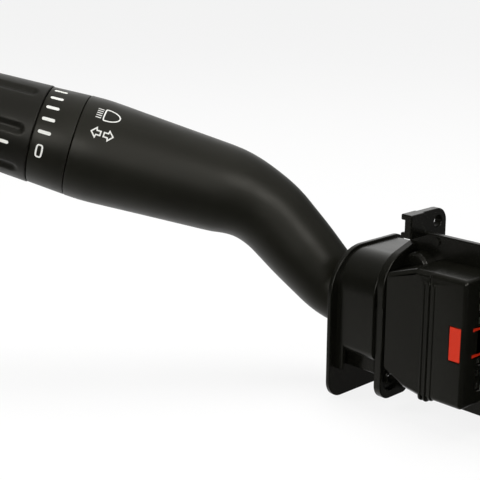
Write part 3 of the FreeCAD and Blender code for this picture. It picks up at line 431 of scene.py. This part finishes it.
def knobProfile():
    # stepped underside that clears the ring's collar, side, crown, lip and the button's well
    low, high, lip = knob["start"], knobEnd, knob["lip"]
    half, crown = knob["edge"] / 2, knob["crown"]
    lower = arcProfile((knob["radius"] - half, low + half), half, -90, 0)
    heights = np.linspace(low + half + knob["sideFrom"], high - crown - knob["sideTo"], knob["sideRows"])
    side = [(float(knobRadius(h)), h) for h in heights]
    top = arcProfile((knob["endRadius"] - crown, high - crown), crown, 0, 90, 9)
    rim = arcProfile((knob["mouth"] + lip, high - lip), lip, 90, 180)
    hub, bottom = knob["hub"], high - knob["wellDepth"]
    step, rise = ring["collar"] + knob["collarGap"], ring["collarRise"] + knob["collarRoom"]
    well = [(knob["mouth"], bottom), (hub, bottom), (hub, low + rise), (step, low + rise), (step, low)]
    return lower + side + top + rim + well


points, faces = latheFaces(knobProfile(), knob["cols"], fluteShape)
addPiece("wiperKnob", tidyMesh(meshFrom("wiperKnob", points, faces)), mat["knobBlack"], "wiper_knob",
         ["wiper_knob"], knob["sharp"])

button = {
    # sizes in mm; the face dips a little towards its middle
    "radius": 9.2, "proud": 2.8, "depth": 3.2, "edge": 0.9, "stem": 1.4, "stemEnd": 11.9,
    "dip": 0.28, "dipReach": 4.5, "dipFrom": 0.5, "dipSunk": 0.01, "dipRows": 14, "axisGap": 0.02,
    "merge": 0.03, "cols": 96, "sharp": 50,
}


def smoothStep(x):
    # 3 x^2 - 2 x^3 between 0 and 1
    x = np.clip(x, 0, 1)
    return x * x * (3 - 2 * x)


def buttonProfile():
    # stem, flat underside, rounded rim and the dipped face
    top, bottom = knobEnd + button["proud"], knobEnd - button["depth"]
    r, e, centre = button["radius"], button["edge"], button["axisGap"]
    rim = arcProfile((r - e, top - e), e, 0, 80, 7)
    steps = np.linspace(button["dipFrom"], r - e - centre, button["dipRows"])
    sunk = button["dip"] * smoothStep(steps / button["dipReach"])
    dish = [(r - e - step, top - down - button["dipSunk"]) for step, down in zip(steps, sunk)]
    stem, stemEnd = button["stem"], button["stemEnd"]
    return [(centre, stemEnd), (stem, stemEnd), (stem, bottom), (r, bottom)] + rim + dish


points, faces = latheFaces(buttonProfile(), button["cols"])
mesh = tidyMesh(meshFrom("washerButtonCap", points, faces), button["merge"])
addPiece("washerButtonCap", mesh, mat["satinBlack"], "washer_button", ["washer_button"],
         button["sharp"])
print("grip end made")


# printed marks: thin sheets of paint that follow the surface, a hair proud of it; lengths in mm
paint = {
    "proud": 0.03, "sunk": 0.08, "mitreLimit": 0.35, "tip": 0.004, "tipSquare": 1e-4,
    "dashRows": 40, "loopRows": 96, "sideRows": 6, "sharp": 40,
}
leverMarks = {
    # places in mm: along from the lever's outer end, round from the print's own line, down the front
    "line": 130.0, "radius": 14.6,
    "lampCentre": (7.0, -1.75), "lampReach": 3.85, "lampBack": 0.57, "lampHalf": 2.16,
    "lampPowers": (2.0, 4.5), "lampStroke": 0.38,
    "beamFrom": 4.2, "beamTo": 5.85, "beamPitch": 0.82, "beamStroke": 0.26,
    "arrowRow": 4.56, "arrowTips": (4.5, 10.68), "arrowHead": 1.26, "arrowHalf": 1.4,
    "shaftStart": 1.46, "shaftEnd": 2.6, "shaftHalf": 0.62, "arrowStroke": 0.38,
}
ringMarks = {
    # places: height from the lever's end in mm, angle round the grip in degrees
    "zero": (7.82, -95.8), "zeroHalf": (0.81, 1.78), "zeroPowers": (4.0, 4.0), "zeroStroke": 0.47,
    "dashes": (-74.0, -58.6, -43.3, -27.8, -11.0), "dashFrom": 5.75, "dashTo": 9.5,
    "dashWidth": 0.98, "knobDash": -97.0, "knobFrom": 16.5, "knobTo": 21.0,
}


def ovalLoop(centre, ahead, behind, half, powers):
    # closed line of two half super-ellipses, one ahead of the centre and one behind it
    u = np.linspace(0, 2 * np.pi, paint["loopRows"], endpoint=False)
    c, q = np.cos(u), np.sin(u)
    power = np.where(c > 0, powers[0], powers[1])
    reach = np.where(c > 0, ahead, behind)
    return np.stack([centre[0] + reach * np.sign(c) * np.abs(c) ** (2 / power),
                     centre[1] + half * np.sign(q) * np.abs(q) ** (2 / power)], -1)


def strokeSides(line, width):
    # both sides of a closed line: each point moves out and in along the mitre of its two neighbours
    before, after = unit(line - np.roll(line, 1, 0)), unit(np.roll(line, -1, 0) - line)
    mitre = unit(before + after)
    normal = np.stack([mitre[:, 1], -mitre[:, 0]], -1)
    reach = width / 2 / np.clip((mitre * after).sum(1), paint["mitreLimit"], 1)[:, None]
    return line + normal * reach, line - normal * reach


def spaced(corners, steps):
    # points set evenly along each side of a closed outline of corners
    part = np.arange(steps)[:, None] / steps
    return np.concatenate([a + (b - a) * part for a, b in zip(corners, np.roll(corners, -1, 0))])


def arrowSides(tip, way):
    # outline arrow in mm: head, barbs and a plain shaft, with sharp mitred corners
    m = leverMarks
    upper = [(m["arrowHead"], m["arrowHalf"]), (m["shaftStart"], m["shaftHalf"]),
             (m["shaftEnd"], m["shaftHalf"])]
    outline = np.array([(0, 0)] + upper + [(x, -y) for x, y in upper[::-1]])
    corners = np.array([tip, m["arrowRow"]]) + way * outline
    return [spaced(side, paint["sideRows"]) for side in strokeSides(corners, m["arrowStroke"])]


def dashSides(start, end, middle, width):
    # straight dash with round ends: the half width falls off as a circle near both tips
    x = np.linspace(start, end, paint["dashRows"])
    inside = np.clip(np.minimum(x - start, end - x), paint["tip"], width / 2)
    half = np.sqrt(np.clip((width / 2) ** 2 - (width / 2 - inside) ** 2, paint["tipSquare"], None))
    return np.stack([x, middle - half], -1), np.stack([x, middle + half], -1)


def paintSheet(sides, place, closed):
    # four lines round the stroke: both sides proud, both sides sunk, joined into a thin closed strip
    one, two = sides
    up, down = paint["proud"], -paint["sunk"]
    rows = [place(one, up), place(two, up), place(two, down), place(one, down)]
    points = np.concatenate(rows)
    count = len(one)
    faces = gridFaces(4, count, wrapRows=True, wrapCols=closed)
    if not closed:
        ends = np.arange(4) * count
        faces = np.concatenate([faces, [ends, ends[::-1] + count - 1]])
    return points, faces


def addMarks(name, sheets, body):
    # joins the sheets of one group of prints into one piece
    points, faces, used = [], [], 0
    for p, f in sheets:
        points.append(p)
        faces.append(f + used)
        used += len(p)
    mesh = tidyMesh(meshFrom(name, np.concatenate(points), np.concatenate(faces)))
    return addPiece(name, mesh, mat["printWhite"], body, (), paint["sharp"])


def onLever(flat, lift):
    # flat is distance back from the lever's outer end and distance round, both in mm
    turned = np.degrees(flat[:, 1] / leverMarks["radius"])
    return leverSurface(leverLength - flat[:, 0], leverMarks["line"] + turned, lift)


def onRing(flat, lift):
    # flat is height in mm and distance round in mm, counted at the radius of the ring's inner end
    r = np.interp(flat[:, 0], [ring["start"], ring["end"]], [ring["radius"], ring["endRadius"]])
    return gripPoint(r + lift, np.degrees(flat[:, 1] / ring["radius"]), flat[:, 0])


def onKnob(flat, lift):
    # as onRing, on the knob's cone
    turned = np.degrees(flat[:, 1] / knob["radius"])
    return gripPoint(knobRadius(flat[:, 0]) + lift, turned, flat[:, 0])


def leverSheets():
    m = leverMarks
    lamp = ovalLoop(m["lampCentre"], m["lampReach"], m["lampBack"], m["lampHalf"], m["lampPowers"])
    sheets = [paintSheet(strokeSides(lamp, m["lampStroke"]), onLever, True)]
    for step in range(-2, 3):
        row = m["lampCentre"][1] + step * m["beamPitch"]
        sides = dashSides(m["beamFrom"], m["beamTo"], row, m["beamStroke"])
        sheets.append(paintSheet(sides, onLever, False))
    for tip, way in zip(m["arrowTips"], (1, -1)):
        sheets.append(paintSheet(arrowSides(tip, way), onLever, True))
    return sheets


def ringSheets():
    m = ringMarks
    height, angle = m["zero"]
    along, across = m["zeroHalf"]
    zero = ovalLoop((height, math.radians(angle) * ring["radius"]), along, along, across, m["zeroPowers"])
    sheets = [paintSheet(strokeSides(zero, m["zeroStroke"]), onRing, True)]
    for angle in m["dashes"]:
        middle = math.radians(angle) * ring["radius"]
        sides = dashSides(m["dashFrom"], m["dashTo"], middle, m["dashWidth"])
        sheets.append(paintSheet(sides, onRing, False))
    return sheets


addMarks("leverMarks", leverSheets(), "lever")
addMarks("ringMarks", ringSheets(), "lever")
knobMiddle = math.radians(ringMarks["knobDash"]) * knob["radius"]
knobSides = dashSides(ringMarks["knobFrom"], ringMarks["knobTo"], knobMiddle, ringMarks["dashWidth"])
addMarks("knobMark", [paintSheet(knobSides, onKnob, False)], "wiper_knob")
print("marks printed")


# moulded housings: copies of the solids with their edges rounded
softened = {
    # name of the dressed copy, finish, slot, and the width of its edge round in mm
    "housing": {"name": "housingShell", "finish": "glossBlack", "slot": "gloss_black", "width": 0.35},
    "bezel_plate": {"name": "bezelDish", "finish": "glossBlack", "slot": "gloss_black", "width": 0.30},
    "rear_cover": {"name": "rearCover", "finish": "glossBlack", "slot": "gloss_black", "width": 0.20},
    "connector_housing": {"name": "connectorShell", "finish": "connectorBlack", "slot": "gloss_black",
                          "width": 0.25},
    "terminal_lock": {"name": "lockRed", "finish": "lockRed", "slot": "red", "width": 0.08},
}
# angles in degrees: sharper edges are rounded, flatter faces are joined; room is in widths of the round
softEdge = {"angle": 35, "flat": 1.5, "room": 2.2, "segments": 3}


def reachAcross(edge, face):
    # how far a face stretches away from one of its edges, square to it
    start = edge.verts[0].co
    way = (edge.verts[1].co - start).normalized()
    return max(((v.co - start) - way * (v.co - start).dot(way)).length for v in face.verts)


def softCopy(node, s):
    # the solid's own faces, merged and joined where flat, then a narrow round on every outer edge whose
    # two faces both leave room for it
    mesh = nodes[node].data.copy()
    mesh.name = s["name"]
    work = bmesh.new()
    work.from_mesh(mesh)
    bmesh.ops.remove_doubles(work, verts=work.verts, dist=merging["merge"] * mm)
    flat, sharp = math.radians(softEdge["flat"]), math.radians(softEdge["angle"])
    bmesh.ops.dissolve_limit(work, angle_limit=flat, verts=work.verts, edges=work.edges)
    weight = work.edges.layers.float.new("bevel_weight_edge")
    room = softEdge["room"] * s["width"] * mm
    for edge in work.edges:
        if len(edge.link_faces) == 2 and edge.is_convex and edge.calc_face_angle(0) > sharp:
            if min(reachAcross(edge, face) for face in edge.link_faces) > room:
                edge[weight] = 1.0
    work.to_mesh(mesh)
    work.free()
    for attribute in list(mesh.attributes):
        if attribute.name.startswith("custom"):
            mesh.attributes.remove(attribute)
    piece = addPiece(s["name"], mesh, mat[s["finish"]], "housing", [node], softEdge["angle"])
    bevel = piece.modifiers.new("softEdges", "BEVEL")
    bevel.width = s["width"] * mm
    bevel.segments = softEdge["segments"]
    bevel.limit_method = "WEIGHT"
    bevel.use_clamp_overlap = False
    bevel.harden_normals = True
    return piece


for node, s in softened.items():
    softCopy(node, s)
print("housings softened")


# carried-over nodes take a finish each
carried = {
    "nylonGrey": ["lever_root", "turn_carrier", "cancel_pawl", "grip_switch_case"],
    "acetalNatural": ["turn_slider", "dimmer_slider", "detent_plunger", "detent_cam"],
    "steel": ["cover_screws", "turn_pin", "dimmer_pin", "plunger_spring", "pawl_pin", "pawl_spring",
              "button_spring"],
    "tin": ["terminals"],
    "copper": ["contact_tracks", "turn_contacts", "dimmer_contacts", "rotor_contact"],
    "boardGreen": ["circuit_board", "grip_board"],
    "wireGrey": ["lever_harness"],
}
for finish, names in carried.items():
    for name in names:
        nodes[name].data.materials.clear()
        nodes[name].data.materials.append(mat[finish])
print("carried nodes finished")


# floor, light and camera
stage = {
    # floor: height in mm, half width in m, colour, roughness, and how much of its own white the camera
    # sees; worldDiffuse is the even light from all round
    "floorLevel": -29.6, "floorHalf": 3.0, "floorColour": (0.86, 0.86, 0.85), "floorRough": 0.9,
    "floorPlain": 0.86, "worldDiffuse": 0.26,
    "glow": [
        # what glossy surfaces see of the studio: azimuth and rise in degrees, tightness, strength
        (172, 31, 60, 5.20),
        (116, 18, 60, 5.20),
        (142, 18, 30, 0.60),
        (150, 52, 10, 0.25),
        (0, 90, 3, 0.32),
        (304, 52, 12, 0.35),
        (316, 15, 12, 1.00),
        (0, -50, 4, 0.60),
        (316, -30, 8, 0.60),
        (224, -8, 10, 0.16),
        (240, 45, 8, 0.20),
        (44, -28, 14, 0.20),
    ],
    "lights": [
        # name, place in mm, aim in mm, size in mm, watts
        ("topSoft", (-60, 120, 620), (-30, -15, 0), 420, 3.8),
        ("keySoft", (-420, -420, 420), (-40, -20, 5), 300, 2.2),
        ("frontSoft", (330, -560, 60), (-20, -20, 0), 260, 1.7),
    ],
}


def worked(tree, operation, first, second):
    # one Math node, with a socket or a number on each side
    node = tree.nodes.new("ShaderNodeMath")
    node.operation = operation
    for place, value in zip(node.inputs, (first, second)):
        if isinstance(value, (int, float)):
            place.default_value = value
        else:
            link(tree, value, place)
    return node.outputs[0]


def plainlySeen(tree, path):
    # 1 for rays from the camera and for those that pass through something clear
    return worked(tree, "MAXIMUM", path.outputs["Is Camera Ray"], path.outputs["Is Transmission Ray"])


def addFloor():
    # pale matt floor with part of its own white towards the camera; glossy rays pass it to the world
    half, level = stage["floorHalf"], stage["floorLevel"] * mm
    corners = [(-half, -half, level), (half, -half, level), (half, half, level), (-half, half, level)]
    mesh = bpy.data.meshes.new("floor")
    mesh.from_pydata(corners, [], [(0, 1, 2, 3)])
    floor = bpy.data.objects.new("floor", mesh)
    scene.collection.objects.link(floor)
    material = bpy.data.materials.new("paleFloor")
    material.use_nodes = True
    tree = material.node_tree
    shader = tree.nodes["Principled BSDF"]
    shader.inputs["Base Color"].default_value = (*stage["floorColour"], 1)
    shader.inputs["Roughness"].default_value = stage["floorRough"]
    white = tree.nodes.new("ShaderNodeEmission")
    white.inputs["Strength"].default_value = 1.0
    path = tree.nodes.new("ShaderNodeLightPath")
    blend = tree.nodes.new("ShaderNodeMixShader")
    seen = worked(tree, "MULTIPLY", plainlySeen(tree, path), stage["floorPlain"])
    link(tree, seen, blend.inputs["Fac"])
    link(tree, shader.outputs[0], blend.inputs[1])
    link(tree, white.outputs[0], blend.inputs[2])
    clear = tree.nodes.new("ShaderNodeBsdfTransparent")
    passed = tree.nodes.new("ShaderNodeMixShader")
    link(tree, path.outputs["Is Glossy Ray"], passed.inputs["Fac"])
    link(tree, blend.outputs[0], passed.inputs[1])
    link(tree, clear.outputs[0], passed.inputs[2])
    link(tree, passed.outputs[0], tree.nodes["Material Output"].inputs["Surface"])
    mesh.materials.append(material)


def addWorld():
    # plain pale surround: white where it is seen, even for diffuse light, and for gloss a sum of soft
    # glows, each strength * max(cosine from its own direction, 0) ^ tightness
    world = bpy.data.worlds.new("surround")
    scene.world = world
    world.use_nodes = True
    tree = world.node_tree
    background = tree.nodes["Background"]
    background.inputs["Color"].default_value = (1, 1, 1, 1)
    path = tree.nodes.new("ShaderNodeLightPath")
    where = tree.nodes.new("ShaderNodeTexCoord")
    total = 0.0
    for azimuth, rise, tight, strength in stage["glow"]:
        facing = tree.nodes.new("ShaderNodeVectorMath")
        facing.operation = "DOT_PRODUCT"
        facing.inputs[1].default_value = heading(azimuth, rise).tolist()
        link(tree, where.outputs["Generated"], facing.inputs[0])
        lobe = worked(tree, "POWER", worked(tree, "MAXIMUM", facing.outputs["Value"], 0.0), float(tight))
        total = worked(tree, "ADD", worked(tree, "MULTIPLY", lobe, strength), total)
    glossy = tree.nodes.new("ShaderNodeMix")
    glossy.inputs["A"].default_value = stage["worldDiffuse"]
    link(tree, total, glossy.inputs["B"])
    seen = tree.nodes.new("ShaderNodeMix")
    seen.inputs["B"].default_value = 1.0
    link(tree, path.outputs["Is Glossy Ray"], glossy.inputs["Factor"])
    link(tree, glossy.outputs["Result"], seen.inputs["A"])
    link(tree, plainlySeen(tree, path), seen.inputs["Factor"])
    link(tree, seen.outputs["Result"], background.inputs["Strength"])


def standing(place, right, up, back):
    # matrix of an object at a place in mm that has these three axes
    matrix = np.eye(4)
    matrix[:3, 0], matrix[:3, 1], matrix[:3, 2] = right, up, back
    matrix[:3, 3] = np.array(place) * mm
    return Matrix(matrix.tolist())


def addLights():
    for name, place, target, size, watts in stage["lights"]:
        lamp = bpy.data.lights.new(name, "AREA")
        lamp.shape = "DISK"
        lamp.size = size * mm
        lamp.energy = watts
        holder = bpy.data.objects.new(name, lamp)
        scene.collection.objects.link(holder)
        back = unit(np.subtract(place, target))
        right = unit(np.cross([0, 0, 1], back))
        holder.matrix_world = standing(place, right, np.cross(back, right), back)
        holder.visible_glossy = False


view = {
    # place and sensor in mm, angles in degrees, focal length and picture width in pixels, clip in m
    "place": (183.0, -240.2, 97.4), "azimuth": 46.4, "elevation": 15.2, "roll": 0.15,
    "focalPixels": 1150.0, "picture": 480.0, "sensor": 36.0, "clip": (0.01, 20.0),
}


def addCamera():
    # looks along -back; rolled by turning right and up about that line
    a, e, r = (math.radians(view[key]) for key in ("azimuth", "elevation", "roll"))
    back = np.array([math.sin(a) * math.cos(e), -math.cos(a) * math.cos(e), math.sin(e)])
    level = unit(np.cross(-back, [0, 0, 1]))
    over = np.cross(level, -back)
    right = level * math.cos(r) + over * math.sin(r)
    up = over * math.cos(r) - level * math.sin(r)
    data = bpy.data.cameras.new("photoCamera")
    data.sensor_width = view["sensor"]
    data.lens = view["focalPixels"] / view["picture"] * view["sensor"]
    data.clip_start, data.clip_end = view["clip"]
    camera = bpy.data.objects.new("photoCamera", data)
    scene.collection.objects.link(camera)
    camera.matrix_world = standing(view["place"], right, up, back)
    scene.camera = camera


addFloor()
addWorld()
addLights()
addCamera()
scene.view_settings.view_transform = "Standard"
print("stage, lights and camera set")
